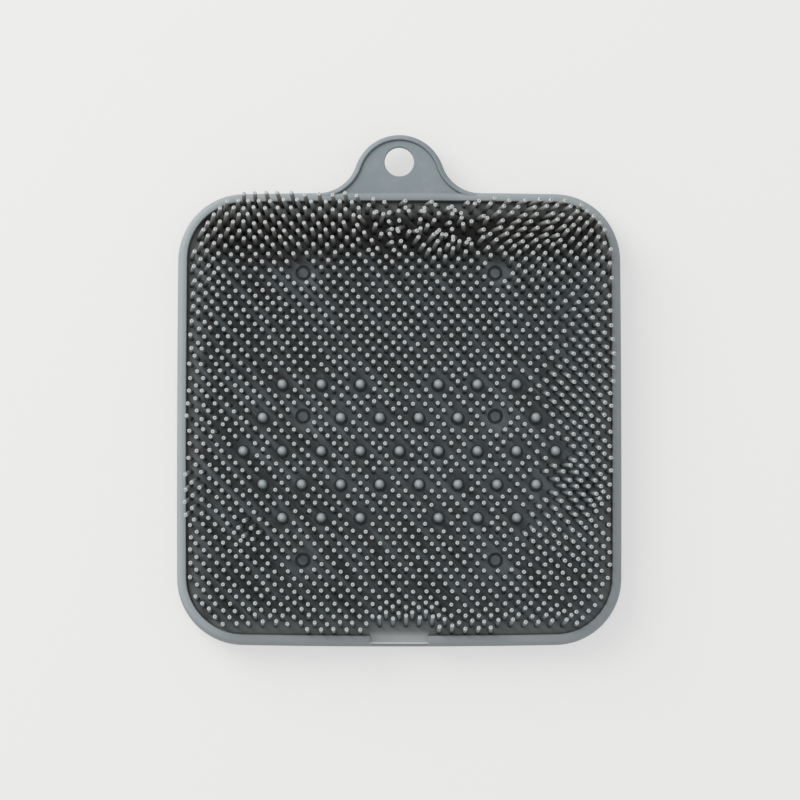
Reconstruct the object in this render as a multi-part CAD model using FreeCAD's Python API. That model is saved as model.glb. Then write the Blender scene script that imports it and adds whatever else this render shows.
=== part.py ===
import FreeCAD
import Part
import math
import os
from FreeCAD import Vector

# A shower foot scrubber: one soft mat moulded in one piece. +Z is up, +Y points to the hanging tab, and the
# origin is on the floor under the middle of the whole outline. Lengths are in millimetres.

# Body seen from above, measured at the foot of its outer wall
body_width = 240.0
body_length = 245.6
corner_radius = 36.0
side_bow = 0.6
end_bow = 1.6

# Heights
cup_height = 7.0
plate_thickness = 3.5
rim_height = 5.0
skirt_drop = 4.0

# Rim and skirt
wall_lean = 0.8
rim_width = 4.5
crown_width = 3.2
crown_drop = 1.9
crown_steps = 4
lip_rounding = 0.5
edge_steps = 3
skirt_thickness = 3.4

# Gap in the rim that lets the water out
drain_width = 31.0
drain_bevel = 1.0
drain_rounding = 1.5

# Hanging tab
tab_reach = 30.9
tab_radius = 24.5
tab_flare = 22.0
tab_thickness = 5.5
tab_bead = 2.7
tab_recess = 1.5
hole_diameter = 16.0
hole_from_tip = 14.8

# Bristles stand at the corners and in the middle of each cell
bristle_cell_x = 7.0
bristle_cell_y = 7.2
bristle_diameter = 2.2
bristle_tip_share = 0.85
bristle_height = 17.0
bristle_sides = 3
bristle_edge_gap = 1.2
bristle_nub_gap = 1.8
column_step = 3

# Round nubs between the bristles
nub_diameter = 5.4
nub_height = 12.5
nub_dome = 1.6
nub_dome_share = 0.6
nub_sides = 6
nub_field_offset = -18.3
nub_pitch_cells = 3
nub_row_cells = 2.5

# Pads where the mould was filled, each in a ring groove
gate_diameter = 5.6
gate_groove_width = 1.3
gate_groove_depth = 1.2
gate_spacing_x = 103.6
gate_spacing_y = 77.7
gate_offset_y = 0.9
gate_sides = 8

# Suction cups under the plate
cup_rows = 4
cup_pitch = 54.0
cup_diameter = 30.0
cup_neck_diameter = 13.0
cup_lip = 0.8
cup_wall = 1.6
cup_hollow = 4.4
cup_sides = 10

# Levels worked out from the heights
plate_bottom = cup_height
floor_level = plate_bottom + plate_thickness
rim_top = floor_level + rim_height
skirt_bottom = plate_bottom - skirt_drop
tab_bottom = rim_top - tab_thickness

# Places worked out from the sizes
body_centre = -tab_reach / 2.0
body_top_edge = body_centre + body_length / 2.0
body_foot_edge = body_centre - body_length / 2.0
tab_tip = body_top_edge + tab_reach
rim_inset = wall_lean + rim_width
cell_half_x = bristle_cell_x / 2.0
cell_half_y = bristle_cell_y / 2.0
nub_centre = body_centre + nub_field_offset
bury = 1.0


def wall_inset(level):
    """How far in the leaning outer wall lies at a level below the rim's crown."""
    return wall_lean * (level - skirt_bottom) / (rim_top - crown_drop - skirt_bottom)


def bow_radius(half_span, sag):
    """Radius of an arc that rises by its sag over half its span."""
    return (half_span ** 2 + sag ** 2) / (2.0 * sag)


def meeting_point(first, first_radius, second, second_radius):
    """The crossing of two circles that lies on the positive side of both axes."""
    apart = second - first
    along = (first_radius ** 2 - second_radius ** 2 + apart.Length ** 2) / (2.0 * apart.Length)
    across = math.sqrt(first_radius ** 2 - along ** 2)
    foot = first + apart.normalize() * along
    found = [foot + Vector(-apart.y, apart.x, 0) * across * side for side in (-1, 1)]
    return max(found, key=lambda point: min(point.x, point.y))


def arc(middle, radius, first, last):
    """Arc round a middle, between two directions that lie less than half a turn apart."""
    ends = [Vector(first).normalize(), Vector(last).normalize()]
    half_way = (ends[0] + ends[1]).normalize()
    points = [middle + direction * radius for direction in (ends[0], half_way, ends[1])]
    return Part.Arc(*points).toShape()


def flipped(point, side, end):
    """A point moved to the left or right side and to the tab's end or the drain's end."""
    return Vector(point.x * side, point.y * end, point.z)


# Middles of the arcs that make the outline, seen from the middle of the body
side_radius = bow_radius(body_length / 2.0, side_bow)
end_radius = bow_radius(body_width / 2.0, end_bow)
side_middle = Vector(body_width / 2.0 - side_radius, 0, 0)
end_middle = Vector(0, body_length / 2.0 - end_radius, 0)
corner_middle = meeting_point(
    side_middle, side_radius - corner_radius, end_middle, end_radius - corner_radius
)
tab_foot_radius = tab_radius + wall_lean - wall_inset(tab_bottom)
head_middle = Vector(0, body_length / 2.0 + tab_reach - tab_foot_radius, 0)
flare_middle = meeting_point(
    end_middle, end_radius - wall_lean + tab_flare, head_middle, tab_radius + tab_flare
)


def closed(edges, level):
    """Closed outline at one level from edges drawn round the middle of the body."""
    outline = Part.Wire(Part.__sortEdges__(edges))
    outline.translate(Vector(0, body_centre, level))
    return outline


def tab_edges(inset):
    """Bell shape of the tab: a round head, and a hollow curve at each side that runs into the rim."""
    spread = tab_flare + inset - wall_lean
    edges = [arc(head_middle, tab_radius - inset + wall_lean, flare_middle - head_middle,
                 flipped(flare_middle, -1, 1) - head_middle)]
    for side in (1, -1):
        flare = flipped(flare_middle, side, 1)
        edges.append(arc(flare, spread, end_middle - flare, head_middle - flare))
    return edges


def body_edges(inset, tabbed):
    """Four slightly bowed sides and their round corners, with or without the place of the tab."""
    edges = []
    for side in (1, -1):
        flank = flipped(side_middle, side, 1)
        top = flipped(corner_middle, side, 1)
        foot = flipped(corner_middle, side, -1)
        edges.append(arc(flank, side_radius - inset, top - flank, foot - flank))
        for end, corner in ((1, top), (-1, foot)):
            across = flipped(end_middle, 1, end)
            edges.append(arc(corner, corner_radius - inset, corner - flank, corner - across))
    for end in (1, -1):
        across = flipped(end_middle, 1, end)
        corners = [flipped(corner_middle, side, end) - across for side in (1, -1)]
        stops = [flipped(flare_middle, side, end) - across for side in (1, -1)]
        if tabbed and end == 1:
            for corner, stop in zip(corners, stops):
                edges.append(arc(across, end_radius - inset, corner, stop))
        else:
            edges.append(arc(across, end_radius - inset, *corners))
    return edges


def body_outline(inset, level):
    """Outline of the body without the tab."""
    return closed(body_edges(inset, False), level)


def mat_outline(inset, level):
    """Outline of the body and the tab together."""
    return closed(body_edges(inset, True) + tab_edges(inset), level)


def sunk_outline(inset, level):
    """Outline of the tab's sunk face, closed by a straight line under the rim's crest."""
    edges = tab_edges(inset)
    feet = [edge.Vertexes[0].Point for edge in edges[1:]]
    return closed(edges + [Part.makeLine(*feet)], level)


def prism(outline, height):
    """Solid of upright walls on a closed outline."""
    return Part.Face(outline).extrude(Vector(0, 0, height))


def ring(sides, radius, level, centre, turn):
    """Corners of a regular polygon at one level."""
    angles = [2.0 * math.pi * index / sides + turn for index in range(sides)]
    return [centre + Vector(radius * math.cos(angle), radius * math.sin(angle), level) for angle in angles]


def peg(sides, centre, sections, turn=0.0):
    """Peg with flat faces through a list of (radius, level) sections, from the lowest up."""
    rings = [ring(sides, radius, level, centre, turn) for radius, level in sections]
    outlines = [rings[0], rings[-1]]
    for low, high in zip(rings, rings[1:]):
        for index in range(sides):
            following = (index + 1) % sides
            outlines.append([low[index], low[following], high[following], high[index]])
    faces = [Part.Face(Part.makePolygon(outline + outline[:1])) for outline in outlines]
    return Part.Solid(Part.Shell(faces))


def stack(outline, sections):
    """Solid through a list of (inset, level) sections of an outline, from the lowest up."""
    return Part.makeLoft([outline(inset, level) for inset, level in sections], True, True)


def rounding(width, drop, steps):
    """Steps of a rounded edge, each as (how far in, how far below the top), from the wall to the top."""
    angles = [math.radians(90.0 * step / steps) for step in range(steps + 1)]
    return [(width * (1.0 - math.cos(angle)), drop * (1.0 - math.sin(angle))) for angle in angles]


def crown():
    """Sections of the rim's outer side, which is crowned: steep at the wall and flat at the inner lip."""
    steps = rounding(crown_width, crown_drop, crown_steps)
    return [(wall_lean + into, rim_top - down) for into, down in steps]


def lip(inset):
    """Sections of a small rounded edge that falls inward from the top of the rim or the bead."""
    steps = rounding(lip_rounding, lip_rounding, edge_steps)
    return [(inset - into, rim_top - down) for into, down in steps]


def sunk_face():
    """Space over the sunk face of the tab, which runs between the bead and the rim's crown."""
    sunk = rim_top - tab_recess
    bead = wall_lean + tab_bead
    space = stack(sunk_outline, [(bead, sunk)] + lip(bead) + [(bead - lip_rounding, rim_top + bury)])
    rim = stack(body_outline, crown() + [(wall_lean + crown_width, rim_top + 2.0 * bury)])
    return space.cut(rim)


def tray():
    """Plate with its crowned rim above, the leaning skirt below and the tab at one end."""
    parting = wall_inset(tab_bottom)
    lower = stack(body_outline, [(0.0, skirt_bottom), (parting, tab_bottom)])
    upper = stack(mat_outline, [(parting, tab_bottom)] + crown())
    well = stack(body_outline, [(rim_inset, floor_level)] + lip(rim_inset))
    hollow = prism(body_outline(skirt_thickness, skirt_bottom - bury), skirt_drop + bury)
    return lower.fuse(upper).cut(well).cut(hollow).cut(sunk_face())


def drain_gap():
    """Space of the gap in the rim. It widens at both faces of the rim, which bevels the rim's two ends."""
    half = drain_width / 2.0
    wide = half + drain_bevel
    inner = body_foot_edge + rim_inset
    outer = body_foot_edge + wall_lean
    side = [
        (wide, inner + bury),
        (wide, inner),
        (half, inner - drain_bevel),
        (half, outer + drain_bevel),
        (wide, outer),
        (wide, body_foot_edge - bury),
    ]
    points = [Vector(x, y, floor_level) for x, y in side + [(-x, y) for x, y in reversed(side)]]
    return prism(Part.makePolygon(points + points[:1]), rim_height + bury)


def drain_edge():
    """Space over the rounded edge where the floor runs out through the gap."""
    half = drain_width / 2.0
    wall = body_foot_edge + wall_inset(floor_level)
    edge = rounding(drain_rounding, drain_rounding, edge_steps)
    section = [(wall + into, floor_level - down) for into, down in edge]
    section += [(wall + drain_rounding, floor_level + bury), (wall - bury, floor_level + bury)]
    section += [(wall - bury, floor_level - drain_rounding)]
    points = [Vector(-half, y, level) for y, level in section]
    return Part.Face(Part.makePolygon(points + points[:1])).extrude(Vector(drain_width, 0, 0))


def nub_sites():
    """Centres of the nubs: five rows of a hexagonal field, with gaps for two pads and two middles."""
    step = nub_pitch_cells * bristle_cell_x
    row_step = nub_row_cells * bristle_cell_y
    rows = {
        0: [-4, -3, -2, -1, 0, 1, 2, 3, 4],
        1: [-3.5, -1.5, -0.5, 0.5, 1.5, 3.5],
        -1: [-3.5, -2.5, -1.5, -0.5, 0.5, 1.5, 2.5, 3.5],
        2: [-3, -2, -1, 1, 2, 3],
        -2: [-3, -2, -1, 1, 2, 3],
    }
    sites = []
    for row, places in rows.items():
        for place in places:
            sites.append(Vector(place * step, nub_centre + row * row_step, 0))
    return sites


def gate_sites():
    """Centres of the six pads."""
    sites = []
    for side in (-1, 1):
        for row in (-1, 0, 1):
            y = body_centre + gate_offset_y + row * gate_spacing_y
            sites.append(Vector(side * gate_spacing_x / 2.0, y, 0))
    return sites


def cup_sites():
    """Centres of the suction cups, on a square grid under the body."""
    sites = []
    for column in range(cup_rows):
        for row in range(cup_rows):
            x = (column - (cup_rows - 1) / 2.0) * cup_pitch
            y = body_centre + (row - (cup_rows - 1) / 2.0) * cup_pitch
            sites.append(Vector(x, y, 0))
    return sites


def inside_rim(point, margin):
    """True where a point of the floor is at least a margin inside the rim."""
    reach = rim_inset + margin
    dx = abs(point.x) - (body_width / 2.0 - reach - side_bow)
    dy = abs(point.y - body_centre) - (body_length / 2.0 - reach - end_bow)
    round_x = dx + corner_radius - reach
    round_y = dy + corner_radius - reach
    if dx > 0 or dy > 0:
        return False
    if round_x > 0 and round_y > 0:
        return math.hypot(round_x, round_y) <= corner_radius - reach
    return True


def bristle_sites():
    """Bristle places. Only one column in three is modelled, at the true spacing along the column."""
    nubs = nub_sites()
    gates = gate_sites()
    radius = bristle_diameter / 2.0
    nub_reach = nub_diameter / 2.0 + radius + bristle_nub_gap
    gate_reach = gate_diameter / 2.0 + gate_groove_width + radius + bristle_edge_gap
    columns = int(body_width / bristle_cell_x) + 1
    rows = int(body_length / bristle_cell_y) + 8
    sites = []
    for column in range(-columns, columns + 1):
        if abs(column) % column_step != 1:
            continue
        for row in range(-rows, rows + 1):
            if (column + row) % 2 == 0:
                continue
            site = Vector(column * cell_half_x, nub_centre + row * cell_half_y, 0)
            if not inside_rim(site, radius + bristle_edge_gap):
                continue
            if min((site - nub).Length for nub in nubs) < nub_reach:
                continue
            if min((site - gate).Length for gate in gates) < gate_reach:
                continue
            sites.append(site)
    return sites


def bristles():
    """Upright tapered bristles, each with the section area of a round one."""
    area = math.pi * bristle_diameter ** 2 / 4.0
    corner = math.sqrt(2.0 * area / (bristle_sides * math.sin(2.0 * math.pi / bristle_sides)))
    sections = [
        (corner, floor_level - bury),
        (corner * bristle_tip_share, floor_level + bristle_height),
    ]
    return [peg(bristle_sides, site, sections, math.pi / 2.0) for site in bristle_sites()]


def nubs():
    """Posts with a domed end."""
    radius = nub_diameter / 2.0
    sections = [
        (radius, floor_level - bury),
        (radius, floor_level + nub_height - nub_dome),
        (radius * nub_dome_share, floor_level + nub_height),
    ]
    return [peg(nub_sides, site, sections) for site in nub_sites()]


def gate_grooves():
    """Ring grooves round the pads."""
    pad = gate_diameter / 2.0
    outer = pad + gate_groove_width
    low = floor_level - gate_groove_depth
    grooves = []
    for site in gate_sites():
        disc = peg(gate_sides, site, [(outer, low), (outer, floor_level + bury)])
        core = peg(gate_sides, site, [(pad, low - bury), (pad, floor_level + 2.0 * bury)])
        grooves.append(disc.cut(core))
    return grooves


def suction_cups():
    """Suction cups: a neck that widens to a thin lip, hollow underneath."""
    radius = cup_diameter / 2.0
    neck = cup_neck_diameter / 2.0
    cups = []
    for site in cup_sites():
        bell = peg(cup_sides, site, [(radius, 0.0), (radius, cup_lip), (neck, plate_bottom + bury)])
        mouth = radius - cup_wall
        hollow = peg(cup_sides, site, [(mouth, -bury), (mouth, 0.0), (neck - cup_wall, cup_hollow)])
        cups.append(bell.cut(hollow))
    return cups


def scrubber():
    """The whole mat as one solid."""
    below = Vector(0, tab_tip - hole_from_tip, tab_bottom - bury)
    hole = Part.makeCylinder(hole_diameter / 2.0, tab_thickness + 2.0 * bury, below)
    base = tray().cut(Part.makeCompound(gate_grooves() + [drain_gap(), drain_edge(), hole]))
    return base.multiFuse(bristles() + nubs() + suction_cups())


os.makedirs("parts", exist_ok=True)
mat = scrubber()
mat.exportStep("parts/scrubber_mat.step")
print("scrubber_mat", mat.isValid(), len(mat.Solids), len(mat.Faces), round(mat.Volume), mat.BoundBox)
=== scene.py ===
"""Shower foot scrubber: a soft grey silicone mat with bristles, nubs, a raised rim and a hanging tab."""

import bpy
import bmesh
import math
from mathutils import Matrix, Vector, noise


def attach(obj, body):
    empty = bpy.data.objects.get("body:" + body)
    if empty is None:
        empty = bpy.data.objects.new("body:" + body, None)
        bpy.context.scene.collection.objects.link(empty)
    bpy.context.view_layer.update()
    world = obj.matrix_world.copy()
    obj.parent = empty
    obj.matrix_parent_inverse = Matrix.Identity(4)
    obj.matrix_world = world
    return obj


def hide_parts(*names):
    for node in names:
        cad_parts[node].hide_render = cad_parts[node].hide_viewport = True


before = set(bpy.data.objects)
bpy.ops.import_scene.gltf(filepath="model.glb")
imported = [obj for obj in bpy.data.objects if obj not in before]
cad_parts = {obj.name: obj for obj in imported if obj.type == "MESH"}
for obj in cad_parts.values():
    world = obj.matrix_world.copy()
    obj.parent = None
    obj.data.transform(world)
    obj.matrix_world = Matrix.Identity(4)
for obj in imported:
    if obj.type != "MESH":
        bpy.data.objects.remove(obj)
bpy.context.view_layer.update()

MM = 0.001

# Body seen from above, in millimetres like every size below
BODY_WIDTH = 240.0
BODY_LENGTH = 245.6
CORNER_RADIUS = 36.0
SIDE_BOW = 0.6
END_BOW = 1.6

# Heights
CUP_HEIGHT = 7.0
PLATE_THICKNESS = 3.5
RIM_HEIGHT = 5.0
SKIRT_DROP = 4.0
PLATE_BOTTOM = CUP_HEIGHT
FLOOR_LEVEL = PLATE_BOTTOM + PLATE_THICKNESS
RIM_TOP = FLOOR_LEVEL + RIM_HEIGHT
SKIRT_BOTTOM = PLATE_BOTTOM - SKIRT_DROP

# Rim and skirt
WALL_LEAN = 0.8
RIM_WIDTH = 4.5
RIM_INSET = WALL_LEAN + RIM_WIDTH
CROWN_WIDTH = 3.2
CROWN_DROP = 1.9
LIP_ROUNDING = 0.6
FLOOR_FILLET = 0.5
SKIRT_THICKNESS = 3.4
SKIRT_ROUNDING = 0.5
SKIRT_CHAMFER = 0.4
ROUND_MIDDLE = 0.12
JOINT_DROP = 0.6
DRAIN_WIDTH = 31.0
BAR_ROUNDING = 0.8
DRAIN_ROUNDING = 1.5
DRAIN_BEVEL = [
    (0.05, 1.35), (0.25, 1.05), (0.6, 0.68), (0.95, 0.36), (1.2, 0.17), (1.35, 0.07), (1.5, 0.01),
]

# Hanging tab
TAB_REACH = 30.9
TAB_RADIUS = 24.5
TAB_FLARE = 22.0
TAB_THICKNESS = 5.5
TAB_BOTTOM = RIM_TOP - TAB_THICKNESS
TAB_BEAD = 2.7
BEAD_FILLET = 0.3
BEAD_SHADE_WIDTH = 0.75
TAB_RECESS = 1.5
TAB_UNDER_ROUNDING = 0.4
HOLE_DIAMETER = 16.0
HOLE_CHAMFER = 0.3
HOLE_FROM_TIP = 14.8
TAB_HAIR_IN = 0.02
TAB_HAIR_DOWN = 0.03

# Bristles
CELL_X = 7.0
CELL_Y = 7.2
COLUMNS_EACH_WAY = 35
ROWS_EACH_WAY = 42
BRISTLE_DIAMETER = 2.4
BRISTLE_HEIGHT = 17.0
RIM_GAP = 0.5
PAD_GAP = 0.4
NUB_GAP = 1.8
DRAIN_CLEAR = 9.0
DRAIN_CLEAR_BESIDE = 2.0
DRIFT_SPAN = 16.0
DRIFT_REACH = 1.0
KNOT_SPAN = 6.5
KNOT_SHIFT = Vector((7.0, 3.0, 1.0))
NOISE_SEED = 23

# Nubs and mould gates
NUB_DIAMETER = 5.4
NUB_HEIGHT = 12.5
NUB_FIELD_OFFSET = -18.3
GATE_DIAMETER = 5.6
GATE_GROOVE_WIDTH = 1.3
GATE_GROOVE_DEPTH = 1.2
GATE_EDGE = 0.3
GATE_SPACING_X = 103.6
GATE_SPACING_Y = 77.7
GATE_OFFSET_Y = 0.9

# Suction cups
CUP_PITCH = 54.0
CUP_DIAMETER = 30.0
CUPS_EACH_WAY = 4

# Steps round the curves
CORNER_STEPS = 18
END_STEPS = 24
SIDE_STEPS = 20
FLARE_STEPS = 18
HEAD_STEPS = 40
HOLE_STEPS = 56
GATE_STEPS = 32
BRISTLE_SIDES = 8
NUB_SIDES = 20
CUP_SIDES = 36

# Painted shade and painted light, with a warm tint and grain. The tab's and the foot's ends start at these
# distances from the body's middle
CREASE_SHADE_WIDTH = 1.3
CREASE_SHADE_AT_RIM = (0.0, 0.5, 1.0, 0.8, 0.0)
CREASE_SHADE_AT_BEAD = (0.0, 0.9, 1.0, 0.4)
CROWN_LIGHT_BESIDE_TAB = 26.0
CROWN_LIGHT_FADE = 14.0
LEAST_CROWN_LIGHT = 0.2
SHADE_FREE_MARGIN = 8.0
SHADE_FADE = 0.15
TAB_END = 80.0
WARM_TAB_END = 70.0
WARM_FOOT_END = -110.0
MOST_WARMTH = 0.85
DRAIN_LIGHT_REACH = 8.5
NUB_LIT_DEPTH = 5.0
NUB_SHADE_HEIGHT = 0.4
MOULD_GRAIN = 1800.0
BRISTLE_GRAIN = 2200.0

# Picture, light and camera
FRAME_PIXELS = 800
PIXEL_SIZE = 0.5385
CAMERA_DISTANCE = 3.0
CAMERA_TIP = 5.0
CAMERA_AIM = (0.4, -6.07, RIM_TOP)
WINDOW_PLACE = (-2.0, 1.8, 1.9)
FLOOR_HALF = 6.0
FLOOR_GLOW = 0.72
SKY_LIGHT = 0.68
WINDOW_SIZE = 2.6
WINDOW_POWER = 96.0

# Places worked out from the sizes
BODY_CENTRE = -TAB_REACH / 2.0
TAB_TIP = BODY_CENTRE + BODY_LENGTH / 2.0 + TAB_REACH
FOOT_EDGE = BODY_CENTRE - BODY_LENGTH / 2.0
NUB_CENTRE = BODY_CENTRE + NUB_FIELD_OFFSET


# ---- The outline of the body and the tab ----

def bow_radius(half_span, sag):
    """Radius of an arc that rises by its sag over half its span."""
    return (half_span ** 2 + sag ** 2) / (2.0 * sag)


def meeting_point(first, first_radius, second, second_radius):
    """The crossing of two circles that lies on the positive side of both axes."""
    apart = second - first
    along = (first_radius ** 2 - second_radius ** 2 + apart.length ** 2) / (2.0 * apart.length)
    across = math.sqrt(first_radius ** 2 - along ** 2)
    foot = first + apart.normalized() * along
    found = [foot + apart.normalized().orthogonal() * across * side for side in (-1, 1)]
    return max(found, key=lambda point: min(point.x, point.y))


def wall_inset(level):
    """How far in the leaning outer wall lies at a level below the rim's crown."""
    return WALL_LEAN * (level - SKIRT_BOTTOM) / (RIM_TOP - CROWN_DROP - SKIRT_BOTTOM)


SIDE_RADIUS = bow_radius(BODY_LENGTH / 2.0, SIDE_BOW)
END_RADIUS = bow_radius(BODY_WIDTH / 2.0, END_BOW)
SIDE_MIDDLE = Vector((BODY_WIDTH / 2.0 - SIDE_RADIUS, 0.0))
END_MIDDLE = Vector((0.0, BODY_LENGTH / 2.0 - END_RADIUS))
CORNER_MIDDLE = meeting_point(
    SIDE_MIDDLE, SIDE_RADIUS - CORNER_RADIUS, END_MIDDLE, END_RADIUS - CORNER_RADIUS
)
TAB_FOOT_RADIUS = TAB_RADIUS + WALL_LEAN - wall_inset(TAB_BOTTOM)
HEAD_MIDDLE = Vector((0.0, BODY_LENGTH / 2.0 + TAB_REACH - TAB_FOOT_RADIUS))
FLARE_MIDDLE = meeting_point(
    END_MIDDLE, END_RADIUS - WALL_LEAN + TAB_FLARE, HEAD_MIDDLE, TAB_RADIUS + TAB_FLARE
)


class Station:
    """A place on an outline: its point for any inset, and how far it is from an end of the drain gap."""

    def __init__(self, middle, radius, direction, hollow=False):
        self.middle = middle
        self.radius = radius
        self.direction = direction
        self.hollow = hollow
        self.into_bar = None

    def at(self, inset, level):
        reach = self.radius + inset if self.hollow else self.radius - inset
        point = self.middle + self.direction * reach
        return Vector((point.x, point.y + BODY_CENTRE, level)) * MM


def arc_stations(middle, radius, first, last, count, hollow=False):
    """Stations along an arc between two directions, without its last one."""
    start = math.atan2(first.y, first.x)
    turn = math.atan2(first.x * last.y - first.y * last.x, first.dot(last))
    stations = []
    for step in range(count):
        angle = start + turn * (step / count)
        stations.append(Station(middle, radius, Vector((math.cos(angle), math.sin(angle))), hollow))
    return stations


def flipped(point, side, end):
    return Vector((point.x * side, point.y * end))


def drain_stations(radius):
    """Stations along the foot edge. Close ones shape the two rounded ends of the rim at the gap."""
    half = DRAIN_WIDTH / 2.0
    middle = flipped(END_MIDDLE, 1, -1)
    corner = flipped(CORNER_MIDDLE, 1, -1) - middle
    limit = corner.x / corner.length * radius
    into = [BAR_ROUNDING * (1.0 - math.cos(math.radians(15.0 * step))) for step in range(7)]
    places = [(-half - depth, depth) for depth in reversed(into)] + [(-half, None)]
    places += [(half * share, None) for share in (-0.6, -0.2, 0.2, 0.6)]
    places += [(half, None)] + [(half + depth, depth) for depth in into]
    far = [limit - (limit - half - 2.0) * step / 10.0 for step in range(11)]
    places = [(-x, BAR_ROUNDING) for x in far] + places + [(x, BAR_ROUNDING) for x in reversed(far)]
    stations = []
    for x, depth in places[:-1]:
        direction = Vector((x / radius, -math.sqrt(1.0 - (x / radius) ** 2)))
        station = Station(middle, radius, direction)
        station.into_bar = depth
        stations.append(station)
    return stations


def body_stations():
    """Stations right round the body, against the clock, from where the right side meets its top corner."""
    stations = []
    for side, end, order in ((1, 1, 1), (-1, 1, -1), (-1, -1, 1), (1, -1, -1)):
        flank = flipped(SIDE_MIDDLE, side, 1)
        across = flipped(END_MIDDLE, 1, end)
        corner = flipped(CORNER_MIDDLE, side, end)
        ends = [corner - flank, corner - across][::order]
        stations += arc_stations(corner, CORNER_RADIUS, ends[0], ends[1], CORNER_STEPS)
        if (side, end) == (1, 1):
            other = flipped(CORNER_MIDDLE, -side, end)
            stations += arc_stations(across, END_RADIUS, corner - across, other - across, END_STEPS)
        elif (side, end) == (-1, -1):
            stations += drain_stations(END_RADIUS)
        else:
            other = flipped(CORNER_MIDDLE, side, -end)
            stations += arc_stations(flank, SIDE_RADIUS, corner - flank, other - flank, SIDE_STEPS)
    for station in stations:
        if station.into_bar is None and (station.radius != END_RADIUS or station.direction.y > 0):
            station.into_bar = BAR_ROUNDING
    return stations


def tab_stations():
    """Stations along the bell of the tab, from its foot on the right to its foot on the left."""
    right = FLARE_MIDDLE
    left = flipped(right, -1, 1)
    head = HEAD_MIDDLE
    spread = TAB_FLARE - WALL_LEAN
    stations = arc_stations(right, spread, END_MIDDLE - right, head - right, FLARE_STEPS, hollow=True)
    stations += arc_stations(head, TAB_RADIUS + WALL_LEAN, right - head, left - head, HEAD_STEPS)
    stations += arc_stations(left, spread, head - left, END_MIDDLE - left, FLARE_STEPS, hollow=True)
    return stations + [Station(left, spread, (END_MIDDLE - left).normalized(), hollow=True)]


# ---- Mesh helpers ----

def rounding(width, drop, steps, share=1.0):
    """Steps of a rounded edge, each as (how far in, how far below the top), from the wall to the top.

    A share under 1 stops the edge when it has come that share of its width in.
    """
    last = math.acos(1.0 - share)
    angles = [last * step / steps for step in range(steps + 1)]
    return [(width * (1.0 - math.cos(angle)), drop * (1.0 - math.sin(angle))) for angle in angles]


def ring_of(mesh, points):
    return [mesh.verts.new(point) for point in points]


def circle(centre, radius, level, count):
    angles = [2.0 * math.pi * step / count for step in range(count)]
    return [
        Vector((centre.x + radius * math.cos(angle), centre.y + radius * math.sin(angle), level)) * MM
        for angle in angles
    ]


def bridge(mesh, first, second, closed=True):
    """Quads between two rings of the same count."""
    count = len(first)
    for index in range(count if closed else count - 1):
        following = (index + 1) % count
        mesh.faces.new((first[index], first[following], second[following], second[index]))


def fill(mesh, rings):
    """Flat face inside the first ring and outside the others."""
    edges = []
    for ring in rings:
        for index, corner in enumerate(ring):
            following = ring[(index + 1) % len(ring)]
            found = mesh.edges.get((corner, following))
            edges.append(found or mesh.edges.new((corner, following)))
    bmesh.ops.triangle_fill(mesh, use_beauty=True, use_dissolve=False, edges=edges)


def finished(mesh, name, sharp=math.radians(38.0)):
    """The mesh as an object at the origin, faces outward, smooth between its sharp edges."""
    bmesh.ops.recalc_face_normals(mesh, faces=mesh.faces[:])
    data = bpy.data.meshes.new(name)
    mesh.to_mesh(data)
    mesh.free()
    data.shade_smooth()
    data.set_sharp_from_angle(angle=sharp)
    made = bpy.data.objects.new(name, data)
    bpy.context.scene.collection.objects.link(made)
    return made


# ---- The tray: plate, rim, skirt and floor ----

def rim_profile(shrink):
    """Section of the rim from the plate's underside, round the skirt and over the rim to the floor.

    Near the drain gap the rim's section shrinks, which rounds the two ends of the rim.
    """
    top = RIM_TOP - shrink
    outer = WALL_LEAN + shrink
    inner = RIM_INSET - shrink
    joint = FLOOR_LEVEL - JOINT_DROP
    crown = rounding(min(CROWN_WIDTH, inner - outer - LIP_ROUNDING), CROWN_DROP, 12)
    lip = rounding(LIP_ROUNDING, LIP_ROUNDING, 4)
    points = [
        (SKIRT_THICKNESS, PLATE_BOTTOM),
        (SKIRT_THICKNESS, SKIRT_BOTTOM + SKIRT_CHAMFER),
        (SKIRT_THICKNESS - SKIRT_CHAMFER, SKIRT_BOTTOM),
        (SKIRT_ROUNDING, SKIRT_BOTTOM),
        (ROUND_MIDDLE, SKIRT_BOTTOM + ROUND_MIDDLE),
        (0.0, SKIRT_BOTTOM + SKIRT_ROUNDING),
        (wall_inset(joint), joint),
        (wall_inset(FLOOR_LEVEL) + shrink, FLOOR_LEVEL),
    ]
    points += [(outer + into, top - down) for into, down in crown]
    points += [(inner - into, top - down) for into, down in reversed(lip)]
    points += [(inner, FLOOR_LEVEL + FLOOR_FILLET), (inner + 0.15, FLOOR_LEVEL + 0.15)]
    return points + [(RIM_INSET + FLOOR_FILLET, FLOOR_LEVEL), (RIM_INSET + CREASE_SHADE_WIDTH, FLOOR_LEVEL)]


def gap_profile():
    """Section in the drain gap: the floor runs out over a small bevelled edge."""
    full = rim_profile(0.0)
    wall = wall_inset(FLOOR_LEVEL)
    points = full[:6] + [(wall_inset(FLOOR_LEVEL - DRAIN_ROUNDING), FLOOR_LEVEL - DRAIN_ROUNDING)]
    points += [(wall + into, FLOOR_LEVEL - down) for into, down in DRAIN_BEVEL]
    rest = [(max(inset, wall + DRAIN_ROUNDING), FLOOR_LEVEL) for inset, _ in full[len(points):]]
    return points + rest


def gate_centres():
    return [
        Vector((side * GATE_SPACING_X / 2.0, BODY_CENTRE + GATE_OFFSET_Y + row * GATE_SPACING_Y))
        for side in (-1, 1)
        for row in (-1, 0, 1)
    ]


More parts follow.
